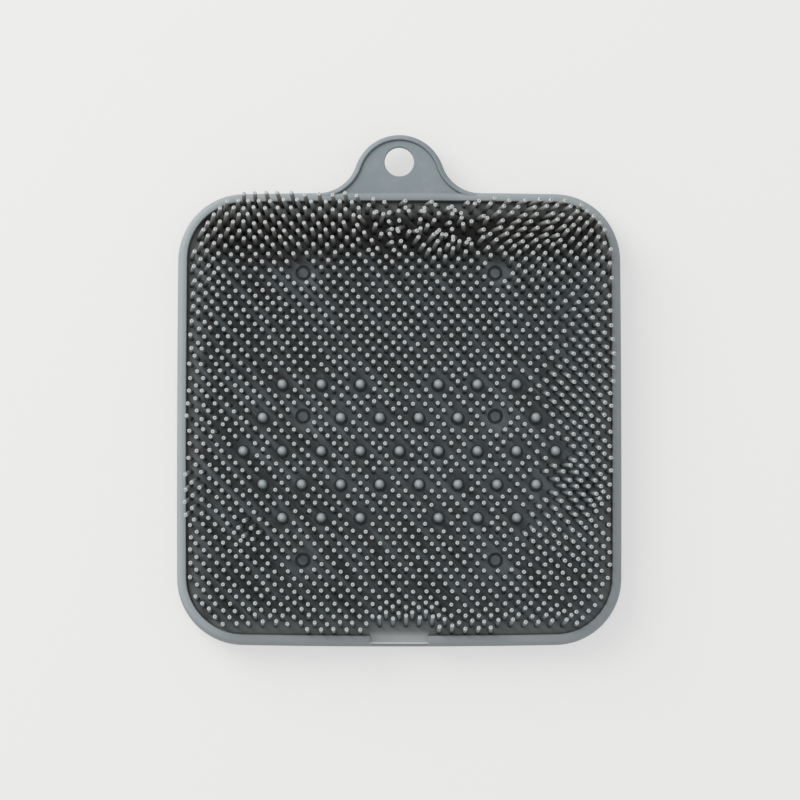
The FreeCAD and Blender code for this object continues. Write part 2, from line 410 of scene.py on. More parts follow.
def gate_rings(mesh, centre):
    """Ring groove round a pad. Returns the groove's outer edge, for the floor's hole."""
    pad = GATE_DIAMETER / 2.0
    outer = pad + GATE_GROOVE_WIDTH
    low = FLOOR_LEVEL - GATE_GROOVE_DEPTH
    section = [
        (outer + GATE_EDGE, FLOOR_LEVEL),
        (outer, FLOOR_LEVEL - GATE_EDGE),
        (outer - 0.15, low + 0.2),
        (outer - 0.4, low),
        (pad + 0.4, low),
        (pad + 0.15, low + 0.2),
        (pad, FLOOR_LEVEL - GATE_EDGE),
        (pad - GATE_EDGE, FLOOR_LEVEL),
    ]
    rings = [ring_of(mesh, circle(centre, radius, level, GATE_STEPS)) for radius, level in section]
    for first, second in zip(rings, rings[1:]):
        bridge(mesh, first, second)
    mesh.faces.new(rings[-1])
    return rings[0]


def painted_top_light_share(point):
    """How much painted light a point of the rim gets: its crown most, little beside the tab."""
    rise = (point.z / MM - RIM_TOP + CROWN_DROP) / CROWN_DROP
    if rise <= -0.05:
        return 0.0
    beside_tab = (abs(point.x / MM) - CROWN_LIGHT_BESIDE_TAB) / CROWN_LIGHT_FADE if point.y > 0.0 else 1.0
    return (0.6 + 0.4 * rise) * min(max(beside_tab, LEAST_CROWN_LIGHT), 1.0)


def tray_mesh(mesh):
    """The tray, with two layers of vertex values: painted shade in the crease at the rim's foot and
    painted light on the rim's crown.
    """
    crease_shade = mesh.verts.layers.float.new("crease_shade")
    painted_top_light = mesh.verts.layers.float.new("painted_top_light")
    rows = []
    for station in body_stations():
        depth = station.into_bar
        if depth is None:
            profile = gap_profile()
        else:
            left = BAR_ROUNDING - min(depth, BAR_ROUNDING)
            profile = rim_profile(BAR_ROUNDING - math.sqrt(BAR_ROUNDING ** 2 - left ** 2))
        row = ring_of(mesh, [station.at(inset, level) for inset, level in profile])
        rows.append(row)
        if depth is not None:
            # Painted shade in the crease at the rim's foot
            for corner, share in zip(row[-len(CREASE_SHADE_AT_RIM):], CREASE_SHADE_AT_RIM):
                corner[crease_shade] = share
            # Painted light on the rim's crown
            for corner in row:
                corner[painted_top_light] = painted_top_light_share(corner.co)
    rings = list(zip(*rows))
    for first, second in zip(rings, rings[1:]):
        bridge(mesh, first, second)
    fill(mesh, [rings[0]])
    fill(mesh, [rings[-1]] + [gate_rings(mesh, centre) for centre in gate_centres()])


def tab_mesh(mesh):
    """The hanging tab: bead, sunk face, hole and underside. Its root is buried in the rim.

    It lies a hair inside and below the tray's surface where the two meet.
    """
    crease_shade = mesh.verts.layers.float["crease_shade"]
    sunk = RIM_TOP - TAB_RECESS
    top = RIM_TOP - TAB_HAIR_DOWN
    bead = WALL_LEAN + TAB_BEAD
    low = wall_inset(TAB_BOTTOM)
    under = TAB_UNDER_ROUNDING
    crown = rounding(CROWN_WIDTH, CROWN_DROP, 9, (TAB_BEAD - LIP_ROUNDING) / CROWN_WIDTH)
    crest = top - crown[-1][1]
    profile = [
        (bead + BEAD_SHADE_WIDTH, sunk),
        (bead + BEAD_FILLET, sunk),
        (bead + 0.08, sunk + 0.08),
        (bead, sunk + BEAD_FILLET),
    ]
    profile += [(bead - into, crest - down) for into, down in rounding(LIP_ROUNDING, LIP_ROUNDING, 5)]
    profile += [(WALL_LEAN + into, top - down) for into, down in reversed(crown[:-1])]
    profile += [
        (low, TAB_BOTTOM + under),
        (low + ROUND_MIDDLE, TAB_BOTTOM + ROUND_MIDDLE),
        (low + under, TAB_BOTTOM),
    ]
    rows = [
        ring_of(mesh, [station.at(inset + TAB_HAIR_IN, level) for inset, level in profile])
        for station in tab_stations()
    ]
    rings = list(zip(*rows))
    # Painted shade in the crease at the bead's inner foot
    for ring, share in zip(rings, CREASE_SHADE_AT_BEAD):
        for corner in ring:
            corner[crease_shade] = share
    for first, second in zip(rings, rings[1:]):
        bridge(mesh, first, second, closed=False)
    for row in (rows[0], rows[-1]):
        mesh.faces.new(row)
    mesh.faces.new((rows[0][0], rows[-1][0], rows[-1][-1], rows[0][-1]))
    hole = Vector((0.0, TAB_TIP - HOLE_FROM_TIP))
    radius = HOLE_DIAMETER / 2.0
    section = [
        (radius + HOLE_CHAMFER, sunk),
        (radius, sunk - HOLE_CHAMFER),
        (radius, TAB_BOTTOM + HOLE_CHAMFER),
        (radius + HOLE_CHAMFER, TAB_BOTTOM),
    ]
    hole_rings = [ring_of(mesh, circle(hole, reach, level, HOLE_STEPS)) for reach, level in section]
    for first, second in zip(hole_rings, hole_rings[1:]):
        bridge(mesh, first, second)
    fill(mesh, [list(rings[0]), hole_rings[0]])
    fill(mesh, [list(rings[-1]), hole_rings[-1]])


def mat_body():
    mesh = bmesh.new()
    tray_mesh(mesh)
    tab_mesh(mesh)
    return finished(mesh, "mat_body")


# ---- What repeats: places ----

def nub_places():
    """Centres of the nubs: five rows of a hexagonal field, with gaps for two pads and two middles."""
    rows = {
        0: [-4, -3, -2, -1, 0, 1, 2, 3, 4],
        1: [-3.5, -1.5, -0.5, 0.5, 1.5, 3.5],
        -1: [-3.5, -2.5, -1.5, -0.5, 0.5, 1.5, 2.5, 3.5],
        2: [-3, -2, -1, 1, 2, 3],
        -2: [-3, -2, -1, 1, 2, 3],
    }
    return [
        Vector((place * 3.0 * CELL_X, NUB_CENTRE + row * 2.5 * CELL_Y))
        for row, places in rows.items()
        for place in places
    ]


def inside_rim(point, margin):
    """True where a point of the floor is at least a margin inside the rim."""
    reach = RIM_INSET + margin
    side_sag = SIDE_BOW * ((point.y - BODY_CENTRE) / BODY_LENGTH * 2.0) ** 2
    end_sag = END_BOW * (point.x / BODY_WIDTH * 2.0) ** 2
    dx = abs(point.x) - (BODY_WIDTH / 2.0 - reach - side_sag)
    dy = abs(point.y - BODY_CENTRE) - (BODY_LENGTH / 2.0 - reach - end_sag)
    round_x = dx + CORNER_RADIUS - reach
    round_y = dy + CORNER_RADIUS - reach
    if dx > 0 or dy > 0:
        return False
    if round_x > 0 and round_y > 0:
        return math.hypot(round_x, round_y) <= CORNER_RADIUS - reach
    return True


def bristle_places():
    """Bristle places on two interlaced grids, clear of the rim, the drain, the nubs and the pads."""
    nubs = nub_places()
    gates = gate_centres()
    radius = BRISTLE_DIAMETER / 2.0
    drain_side = DRAIN_WIDTH / 2.0 + DRAIN_CLEAR_BESIDE
    nub_reach = NUB_DIAMETER / 2.0 + radius + NUB_GAP
    gate_reach = GATE_DIAMETER / 2.0 + GATE_GROOVE_WIDTH + radius + PAD_GAP
    places = []
    for column in range(-COLUMNS_EACH_WAY, COLUMNS_EACH_WAY + 1):
        for row in range(-ROWS_EACH_WAY, ROWS_EACH_WAY + 1):
            if (column + row) % 2 == 0:
                continue
            place = Vector((column * CELL_X / 2.0, NUB_CENTRE + row * CELL_Y / 2.0))
            if not inside_rim(place, radius + RIM_GAP):
                continue
            if abs(place.x) < drain_side and place.y < FOOT_EDGE + DRAIN_CLEAR:
                continue
            if min((place - nub).length for nub in nubs) < nub_reach:
                continue
            if min((place - gate).length for gate in gates) < gate_reach:
                continue
            places.append(place)
    return places


# Patches of bristles that use has combed one way: middle, reach, and where their tips have gone
COMBED_PATCHES = [
    ((-90, 92), 13, (2.2, 5.0)),
    ((-105, 80), 11, (3.0, 3.6)),
    ((-109, 66), 11, (2.4, 2.8)),
    ((-74, 94), 12, (-2.6, 5.6)),
    ((-60, 94), 12, (-3.0, 5.6)),
    ((-58, 81), 11, (-2.2, 3.2)),
    ((-72, 79), 10, (-0.6, 1.6)),
    ((-40, 94), 12, (-1.4, 5.0)),
    ((-26, 94), 12, (-1.0, 4.8)),
    ((-34, 80), 13, (-0.6, 2.6)),
    ((13, 80), 8, (4.4, 4.6)),
    ((21, 71), 7, (1.4, 4.8)),
    ((5, 68), 10, (0.3, 1.6)),
    ((32, 72), 9, (0.6, 3.6)),
    ((49, 94), 10, (3.6, 2.6)),
    ((49, 84), 9, (4.8, 1.6)),
    ((66, 93), 12, (5.4, 1.6)),
    ((65, 83), 10, (5.8, 0.6)),
    ((79, 94), 11, (6.2, 1.2)),
    ((90, 88), 11, (4.4, 2.2)),
    ((103, 86), 11, (3.4, 3.4)),
    ((92, 78), 11, (2.6, 3.2)),
    ((106, 74), 11, (1.4, 4.2)),
    ((94, 66), 13, (0.3, 1.8)),
    ((111, 66), 10, (1.8, 3.6)),
    ((61, 70), 10, (0.8, 2.6)),
    ((65, 62), 9, (2.6, 1.7)),
    ((81, 64), 10, (1.3, 2.6)),
    ((95, 60), 10, (1.2, 2.2)),
    ((104, 58), 9, (2.8, 2.0)),
    ((92, 50), 11, (1.9, 1.4)),
    ((100, 44), 11, (2.6, 0.1)),
    ((103, 33), 12, (3.0, -1.4)),
    ((102, 22), 12, (3.0, -2.8)),
    ((91, 10), 12, (3.3, -3.0)),
    ((108, 12), 10, (2.6, -3.0)),
    ((84, -1), 10, (4.2, -3.2)),
    ((103, -4), 12, (3.0, -3.6)),
    ((86, -14), 10, (2.6, -3.6)),
    ((102, -24), 12, (1.6, -2.6)),
    ((86, -36), 10, (3.4, -1.8)),
    ((103, -38), 10, (2.6, -1.4)),
    ((83, -50), 8, (5.4, -1.4)),
    ((97, -54), 11, (4.2, -1.9)),
    ((87, -63), 10, (3.4, -3.0)),
    ((86, -73), 12, (3.0, -3.6)),
    ((72, -74), 9, (2.2, -3.8)),
    ((100, -84), 12, (1.3, -2.4)),
    ((79, -92), 12, (0.8, -1.2)),
    ((-55, 45), 16, (-1.2, -0.3)),
    ((61, 40), 14, (-0.8, 0.0)),
    ((-112, 56), 9, (1.8, 2.0)),
    ((-112, 40), 9, (1.6, 1.6)),
    ((-95, -6), 26, (-1.2, -0.8)),
    ((-80, -75), 8, (-3.0, -3.6)),
    ((-111, -50), 8, (-2.8, -3.2)),
    ((-111, -64), 8, (-2.8, -3.2)),
    ((-8, -128), 5, (0.3, 4.8)),
    ((4, -128), 5, (0.3, 5.2)),
    ((16, -128), 5, (0.2, 4.8)),
    ((26, -129), 5, (0.0, 4.0)),
    ((-2, -121), 7, (0.0, 2.2)),
    ((12, -121), 7, (0.0, 2.0)),
    ((-28, -131), 9, (-0.4, 1.6)),
    ((-48, -132), 9, (0.2, 1.4)),
    ((-68, -131), 9, (0.3, 1.2)),
    ((42, -131), 8, (0.4, 1.8)),
    ((58, -130), 7, (1.9, 3.2)),
    ((68, -130), 7, (2.6, 2.8)),
    ((78, -130), 7, (1.4, 3.0)),
    ((86, -128), 7, (2.0, 3.0)),
    ((70, -121), 10, (0.8, 1.0)),
]

# Patches where the bristles are tangled: middle, reach and how far the tips stray
TANGLED_PATCHES = [
    ((-8, 90), 14, 5.0),
    ((8, 93), 14, 5.5),
    ((28, 88), 14, 6.0),
    ((44, 86), 10, 4.0),
    ((74, 90), 14, 2.5),
    ((-16, 80), 10, 2.0),
    ((-105, -18), 16, 2.0),
    ((-98, 22), 14, 1.4),
]


# Without a seed, the noise below would follow the clock
noise.seed_set(NOISE_SEED)


def combed_lean(place):
    """How far the tip of the bristle at a place has gone sideways, before its own small scatter."""
    lean = Vector((0.0, 0.0))
    weight = 0.0
    for middle, reach, tip in COMBED_PATCHES:
        share = math.exp(-((place - Vector(middle)).length / reach) ** 2)
        lean += Vector(tip) * share
        weight += share
    lean /= max(weight, 1.0)
    spot = Vector((place.x, place.y, 0.0))
    drift = noise.noise_vector(spot / DRIFT_SPAN)
    lean += Vector((drift.x, drift.y)) * DRIFT_REACH
    for middle, reach, stray in TANGLED_PATCHES:
        share = math.exp(-((place - Vector(middle)).length / reach) ** 2)
        knot = noise.noise_vector(spot / KNOT_SPAN + KNOT_SHIFT)
        lean += Vector((knot.x * 1.5, knot.y)) * stray * share
    return lean


# ---- Node trees ----

class Signal:
    """A socket of a node tree that takes part in Python sums. Numbers alone stay numbers."""

    def __init__(self, tree, socket):
        self.tree = tree
        self.socket = socket

    def sum_of(self, operation, *terms):
        return self.tree.node("ShaderNodeMath", {"operation": operation}, dict(enumerate(terms)))

    def __add__(self, other):
        return self.sum_of("ADD", self, other)

    def __radd__(self, other):
        return self.sum_of("ADD", other, self)

    def __sub__(self, other):
        return self.sum_of("SUBTRACT", self, other)

    def __rsub__(self, other):
        return self.sum_of("SUBTRACT", other, self)

    def __mul__(self, other):
        return self.sum_of("MULTIPLY", self, other)

    def __rmul__(self, other):
        return self.sum_of("MULTIPLY", other, self)

    def __truediv__(self, other):
        return self.sum_of("DIVIDE", self, other)

    def __rtruediv__(self, other):
        return self.sum_of("DIVIDE", other, self)

    def clipped(self, low, high):
        return self.sum_of("MINIMUM", self.sum_of("MAXIMUM", self, low), high)

    def rising(self, start, rate, most=1.0):
        """0 up to a start, from there rising at a rate, to the most it may be."""
        return ((self - start) * rate).clipped(0.0, most)

    def falling(self, end, rate, most=1.0):
        """The most it may be, falling at a rate to 0, which it reaches at an end."""
        return ((end - self) * rate).clipped(0.0, most)

    def size(self):
        return self.sum_of("ABSOLUTE", self)

    def smaller(self, other):
        return self.sum_of("MINIMUM", self, other)

    def distance(self, other):
        """How far from the axis a point lies whose two coordinates these are."""
        return self.sum_of("SQRT", self * self + other * other)


class Tree:
    """A node tree under construction."""

    def __init__(self, tree):
        self.tree = tree

    def node(self, kind, settings=None, sockets=None, output=0):
        """A node of a kind: its settings first, then the values or links of its sockets."""
        made = self.tree.nodes.new(kind)
        for name, value in (settings or {}).items():
            setattr(made, name, value)
        for name, value in (sockets or {}).items():
            self.feed(made.inputs[name], value)
        return Signal(self, made.outputs[output]) if len(made.outputs) else made

    def feed(self, socket, value):
        if isinstance(value, Signal):
            self.tree.links.new(value.socket, socket)
        else:
            socket.default_value = value

    def other(self, signal, name):
        """Another output of the node that a signal comes from."""
        return Signal(self, signal.socket.node.outputs[name])

    def split(self, vector):
        """The three components of a vector."""
        first = self.node("ShaderNodeSeparateXYZ", None, {"Vector": vector})
        return first, self.other(first, "Y"), self.other(first, "Z")

    def own_place(self):
        """The object's own coordinates, in metres."""
        return self.other(self.node("ShaderNodeTexCoord"), "Object")

    def marked(self, name, output="Fac"):
        """A named attribute of the mesh, for a material."""
        return self.node("ShaderNodeAttribute", {"attribute_name": name}, None, output)

    def speckle(self, place, scale, detail=2.0, roughness=0.5):
        """Noise whose largest spots are about a metre over its scale wide."""
        return self.node("ShaderNodeTexNoise", None, {
            "Vector": place, "Scale": scale, "Detail": detail, "Roughness": roughness,
        })


def geometry_tree(name, inputs):
    """A Geometry Nodes tree with named inputs. Returns it with a signal for each input."""
    group = bpy.data.node_groups.new(name, "GeometryNodeTree")
    group.is_modifier = True
    group.interface.new_socket("Geometry", in_out="INPUT", socket_type="NodeSocketGeometry")
    group.interface.new_socket("Geometry", in_out="OUTPUT", socket_type="NodeSocketGeometry")
    for label, (kind, value) in inputs.items():
        socket = group.interface.new_socket(label, in_out="INPUT", socket_type=kind)
        if value is not None:
            socket.default_value = value
    tree = Tree(group)
    entry = tree.node("NodeGroupInput")
    signals = {label: tree.other(entry, label) for label in ["Geometry"] + list(inputs)}
    return tree, signals


def grown(name, tree, places, settings):
    """Runs a Geometry Nodes tree on a set of points and keeps the result as a plain mesh object."""
    holder = bpy.data.objects.new(name + "_places", places)
    bpy.context.scene.collection.objects.link(holder)
    modifier = holder.modifiers.new(name, "NODES")
    modifier.node_group = tree.tree
    for item in tree.tree.interface.items_tree:
        if item.in_out == "INPUT" and item.name in settings:
            modifier[item.identifier] = settings[item.name]
    graph = bpy.context.evaluated_depsgraph_get()
    data = bpy.data.meshes.new_from_object(holder.evaluated_get(graph), depsgraph=graph)
    data.name = name
    bpy.data.objects.remove(holder)
    made = bpy.data.objects.new(name, data)
    bpy.context.scene.collection.objects.link(made)
    return made


def place_mesh(name, places, level):
    data = bpy.data.meshes.new(name)
    data.from_pydata([(place.x * MM, place.y * MM, level * MM) for place in places], [], [])
    return data


def turned(name, profile, sides):
    """Turned shape of radius 1 and height 1 from (radius, height) pairs, closed at both ends."""
    mesh = bmesh.new()
    rings = []
    for radius, height in profile:
        if radius == 0.0:
            rings.append([mesh.verts.new((0.0, 0.0, height))])
        else:
            angles = [2.0 * math.pi * step / sides for step in range(sides)]
            rings.append([
                mesh.verts.new((radius * math.cos(angle), radius * math.sin(angle), height))
                for angle in angles
            ])
    for first, second in zip(rings, rings[1:]):
        if len(first) == 1 or len(second) == 1:
            pole = first[0] if len(first) == 1 else second[0]
            ring = second if len(first) == 1 else first
            for index in range(sides):
                mesh.faces.new((ring[index], ring[(index + 1) % sides], pole))
        else:
            bridge(mesh, first, second)
    for ring in (rings[0], rings[-1]):
        if len(ring) > 1:
            mesh.faces.new(ring)
    made = finished(mesh, name, sharp=math.radians(50.0))
    bpy.context.scene.collection.objects.unlink(made)
    return made


def planted_tree():
    """Stands one shape on every point, at its true diameter and height."""
    tree, given = geometry_tree("planted_shapes", {
        "Shape": ("NodeSocketObject", None),
        "Diameter": ("NodeSocketFloat", 0.005),
        "Height": ("NodeSocketFloat", 0.01),
        "Finish": ("NodeSocketMaterial", None),
    })
    shape = tree.node("GeometryNodeObjectInfo", None, {"Object": given["Shape"]})
    size = tree.node("ShaderNodeCombineXYZ", None, {
        "X": given["Diameter"] / 2.0, "Y": given["Diameter"] / 2.0, "Z": given["Height"],
    })
    stood = tree.node("GeometryNodeInstanceOnPoints", None, {
        "Points": given["Geometry"],
        "Instance": tree.other(shape, "Geometry"),
        "Scale": size,
    })
    real = tree.node("GeometryNodeRealizeInstances", None, {"Geometry": stood})
    dressed = tree.node("GeometryNodeSetMaterial", None, {
        "Geometry": real, "Material": given["Finish"],
    })
    tree.node("NodeGroupOutput", None, {"Geometry": dressed})
    return tree


def bristle_tree():
    """Stands a bristle on every point and bends it, at its own length, towards that point's lean."""
    tree, given = geometry_tree("bent_bristles", {
        "Shape": ("NodeSocketObject", None),
        "Diameter": ("NodeSocketFloat", 0.0022),
        "Height": ("NodeSocketFloat", 0.017),
        "Root Share": ("NodeSocketFloat", 0.3),
        "Scatter": ("NodeSocketFloat", 0.0005),
        "Seed": ("NodeSocketInt", 1),
        "Finish": ("NodeSocketMaterial", None),
    })

    def stored(geometry, name, kind, value):
        return tree.node("GeometryNodeStoreNamedAttribute", {"data_type": kind, "domain": "POINT"}, {
            "Geometry": geometry, "Name": name, "Value": value,
        })

    def named(name, kind):
        return tree.node("GeometryNodeInputNamedAttribute", {"data_type": kind}, {"Name": name})

    def vector(operation, *terms, output=0):
        return tree.node(
            "ShaderNodeVectorMath", {"operation": operation}, dict(enumerate(terms)), output
        )

    def scaled(arrow, factor):
        return tree.node("ShaderNodeVectorMath", {"operation": "SCALE"}, {0: arrow, "Scale": factor})

    def joined(x, y, z):
        return tree.node("ShaderNodeCombineXYZ", None, {"X": x, "Y": y, "Z": z})

    def wave(kind, angle):
        return tree.node("ShaderNodeMath", {"operation": kind}, {0: angle})

    place = tree.node("GeometryNodeInputPosition")
    points = stored(given["Geometry"], "foot", "FLOAT_VECTOR", place)
    scatter = tree.node("FunctionNodeRandomValue", {"data_type": "FLOAT_VECTOR"}, {
        0: (-1.0, -1.0, 0.0), 1: (1.0, 1.0, 0.0), "Seed": given["Seed"],
    })
    strayed = vector("ADD", named("lean", "FLOAT_VECTOR"), scaled(scatter, given["Scatter"]))
    points = stored(points, "lean", "FLOAT_VECTOR", strayed)
    shade = tree.node("FunctionNodeRandomValue", {"data_type": "FLOAT"}, {
        2: 0.0, 3: 1.0, "Seed": given["Seed"],
    }, 1)
    points = stored(points, "tint", "FLOAT", shade)

    shape = tree.node("GeometryNodeObjectInfo", None, {"Object": given["Shape"]})
    unit = stored(tree.other(shape, "Geometry"), "unit", "FLOAT_VECTOR", place)
    stood = tree.node("GeometryNodeInstanceOnPoints", None, {"Points": points, "Instance": unit})
    real = tree.node("GeometryNodeRealizeInstances", None, {"Geometry": stood})

    lean = named("lean", "FLOAT_VECTOR")
    unit_x, unit_y, along = tree.split(named("unit", "FLOAT_VECTOR"))
    across = unit_x * given["Diameter"] / 2.0
    beside = unit_y * given["Diameter"] / 2.0
    ratio = (vector("LENGTH", lean, output="Value") / given["Height"]).clipped(0.004, 0.9)
    root = given["Root Share"]
    full = wave("ARCSINE", ratio) * 2.0 / (root + 1.0)
    start = full * root
    turn = full - start
    angle = start + turn * along
    spread = given["Height"] / turn
    out = spread * (wave("COSINE", start) - wave("COSINE", angle)) + across * wave("COSINE", angle)
    up = spread * (wave("SINE", angle) - wave("SINE", start)) - across * wave("SINE", angle)
    toward = vector("NORMALIZE", lean)
    sideways = vector("CROSS_PRODUCT", (0.0, 0.0, 1.0), toward)
    raised = vector("ADD", named("foot", "FLOAT_VECTOR"), joined(0.0, 0.0, up))
    moved = vector("ADD", raised, vector("ADD", scaled(toward, out), scaled(sideways, beside)))
    bent = tree.node("GeometryNodeSetPosition", None, {"Geometry": real, "Position": moved})
    marked = stored(bent, "along", "FLOAT", along)
    dressed = tree.node("GeometryNodeSetMaterial", None, {
        "Geometry": marked, "Material": given["Finish"],
    })
    tree.node("NodeGroupOutput", None, {"Geometry": dressed})
    return tree


# ---- Finishes ----

def mixed(tree, share, first, second):
    return tree.node("ShaderNodeMix", {"data_type": "RGBA"}, {"Factor": share, 6: first, 7: second}, 2)


def new_material(name):
    material = bpy.data.materials.new(name)
    material.use_nodes = True
    material.node_tree.nodes.clear()
    return material, Tree(material.node_tree)


def finish_with(tree, colour, roughness, bump, distance, strength):
    normal = tree.node("ShaderNodeBump", None, {
        "Height": bump, "Distance": distance, "Strength": strength,
    })
    shader = tree.node("ShaderNodeBsdfPrincipled", None, {
        "Base Color": colour,
        "Roughness": roughness,
        "Normal": normal,
        "IOR": 1.41,
        "Specular IOR Level": 0.5,
    })
    tree.node("ShaderNodeOutputMaterial", None, {"Surface": shader})


SILICONE_GREY = (0.232, 0.266, 0.284, 1.0)
SILICONE_DEEP = (0.210, 0.244, 0.262, 1.0)
SILICONE_PALE = (0.275, 0.300, 0.310, 1.0)
DRAIN_PAINTED_LIGHT = (0.425, 0.435, 0.440, 1.0)
# Painted light in the drain gap and a painted highlight along its edge
DRAIN_EDGE_HIGHLIGHT = (0.720, 0.730, 0.740, 1.0)
# Painted light on the rim's crown
RIM_PAINTED_LIGHT = (0.295, 0.325, 0.338, 1.0)
# Painted shade at the feet of the bristles and the nubs, and on the floor near the tab
PAINTED_FOOT_SHADE = (0.026, 0.026, 0.024, 1.0)
SHAFT_WARM = (0.256, 0.249, 0.232, 1.0)
MARGIN = (0.225, 0.220, 0.205, 1.0)
# Painted shade among the bristles
SHADE_BETWEEN_BRISTLES = (0.085, 0.090, 0.090, 1.0)
# Painted shade in the creases at the rim's and the bead's foot
PAINTED_CREASE_SHADE = (0.022, 0.021, 0.020, 1.0)
TIP_PALE = (0.51, 0.53, 0.52, 1.0)
# Painted shade in the tips' dimples
TIP_DIMPLE_SHADE = (0.28, 0.29, 0.29, 1.0)
# Painted light on the nubs' tops
NUB_PAINTED_LIGHT = (0.375, 0.405, 0.41, 1.0)


def painted_floor_shade(tree, place, lit_lanes):
    """Painted shade on the floor among the bristles, the margin inside the rim that it leaves out, and how
    near the tab's end is.

    The painted shade lies among the bristles, thin in the middle and round the pads, left off painted lit
    lanes, and deep in the pads' grooves.
    """
    x, y, z = tree.split(place)
    side = x / MM
    beyond = y / MM - BODY_CENTRE
    level = z / MM
    across = side.size()
    lengthwise = beyond.size()
    inside = across.falling(BODY_WIDTH / 2.0 - SHADE_FREE_MARGIN, SHADE_FADE)
    inside = inside * lengthwise.falling(BODY_LENGTH / 2.0 - SHADE_FREE_MARGIN, SHADE_FADE)
    on_floor = level.falling(FLOOR_LEVEL + 0.5, 4.0) * level.rising(FLOOR_LEVEL - 2.0, 4.0)
    from_row = lengthwise.smaller((lengthwise - GATE_SPACING_Y).size())
    from_gate = from_row.distance(across - GATE_SPACING_X / 2.0)
    clear = from_gate.rising(GATE_DIAMETER, 0.16)
    middle = across.distance(lengthwise).falling(80.0, 0.02)
    share = 1.0 - side * 0.0022 - middle * 0.25
    share = share * (0.62 + clear * 0.38) * lit_lanes.rising(0.38, 4.5)
    # Deeper painted shade towards the tab's end
    by_the_tab = beyond.rising(TAB_END, 0.06)
    share = share + by_the_tab * 0.8
    # Painted shade in the pads' grooves
    groove = level.falling(FLOOR_LEVEL - 0.45, 3.0) * from_gate.falling(GATE_DIAMETER, 2.0)
    mottle_and_shade = ((share.clipped(0.0, 1.0) + groove) * inside * on_floor).clipped(0.0, 1.0)
    return mottle_and_shade, (1.0 - inside) * on_floor, by_the_tab


def by_the_drain(tree, place):
    """Painted light on the floor of the drain gap, and a painted highlight along its outer edge."""
    x, y, z = tree.split(place)
    across = (x / MM).size().falling(DRAIN_WIDTH / 2.0 + 0.6, 1.2)
    outward = (y / MM).falling(FOOT_EDGE + DRAIN_LIGHT_REACH, 0.3)
    below = FLOOR_LEVEL - z / MM
    drain_light = across * outward * below.falling(1.1, 2.0)
    return drain_light, drain_light * below.rising(0.04, 6.0) * below.falling(0.75, 3.0)


def body_silicone():
    """Satin silicone of the moulding: faint clouds, the mould's fine grain, a warmer margin inside the
    rim, and painted shade and light among the bristles, in creases, on the rim's crown and in the drain
    gap.
    """
    material, tree = new_material("satin_silicone")
    place = tree.own_place()
    x, y, _ = tree.split(place)
    slant = tree.node("ShaderNodeCombineXYZ", None, {"X": (x + y) * 0.7, "Y": (x - y) * 0.09})
    cloud = tree.speckle(place, 45.0, 3.0, 0.55)
    grain = tree.speckle(place, MOULD_GRAIN)
    mottle_and_shade = tree.speckle(place, 160.0, 4.0, 0.6)
    # Slanted noise for the painted lit lanes along the diagonal rows of bristles
    lit_lanes = tree.speckle(slant, 210.0, 3.0, 0.6)
    colour = mixed(tree, (cloud * 1.6 - 0.3).clipped(0.0, 1.0), SILICONE_DEEP, SILICONE_GREY)
    colour = mixed(tree, (mottle_and_shade * 2.4 - 1.2).clipped(0.0, 0.6), colour, SILICONE_PALE)
    # Painted shade among the bristles, left off in the lit lanes and deeper near the tab
    floor_shade, margin, by_the_tab = painted_floor_shade(tree, place, lit_lanes * 0.8 + mottle_and_shade * 0.2)
    colour = mixed(tree, floor_shade, colour, mixed(tree, by_the_tab, SHADE_BETWEEN_BRISTLES, PAINTED_FOOT_SHADE))
    colour = mixed(tree, margin * 0.7, colour, MARGIN)
    # Painted light in the drain gap and a painted highlight along its edge
    drain_light, edge = by_the_drain(tree, place)
    colour = mixed(tree, drain_light, colour, DRAIN_PAINTED_LIGHT)
    colour = mixed(tree, edge, colour, DRAIN_EDGE_HIGHLIGHT)
    # Painted shade in the creases at the rim's and the bead's foot
    colour = mixed(tree, tree.marked("crease_shade") * 0.65, colour, PAINTED_CREASE_SHADE)
    # Painted light on the rim's crown
    colour = mixed(tree, tree.marked("painted_top_light"), colour, RIM_PAINTED_LIGHT)
    bump = grain * 0.5 + mottle_and_shade * 0.5
    finish_with(tree, colour, 0.46 + mottle_and_shade * 0.14, bump, distance=0.08 * MM, strength=0.35)
    return material


def nub_silicone():
    """The same silicone on the nubs, with painted light on top and a painted shadow at the foot."""
    material, tree = new_material("nub_silicone")
    place = tree.own_place()
    _, _, level = tree.split(place)
    # Painted light on the nub's top
    painted_top_light = level.rising((FLOOR_LEVEL + NUB_HEIGHT - NUB_LIT_DEPTH) * MM, 300.0)
    # Painted shadow at the nub's foot and on the flat ring round it
    foot = level.falling((FLOOR_LEVEL + NUB_SHADE_HEIGHT) * MM, 4000.0, most=0.75)
    grain = tree.speckle(place, MOULD_GRAIN)
    colour = mixed(tree, painted_top_light, SILICONE_DEEP, NUB_PAINTED_LIGHT)
    colour = mixed(tree, foot, colour, PAINTED_FOOT_SHADE)
    finish_with(tree, colour, 0.40 + grain * 0.08, grain, distance=0.06 * MM, strength=0.25)
    return material


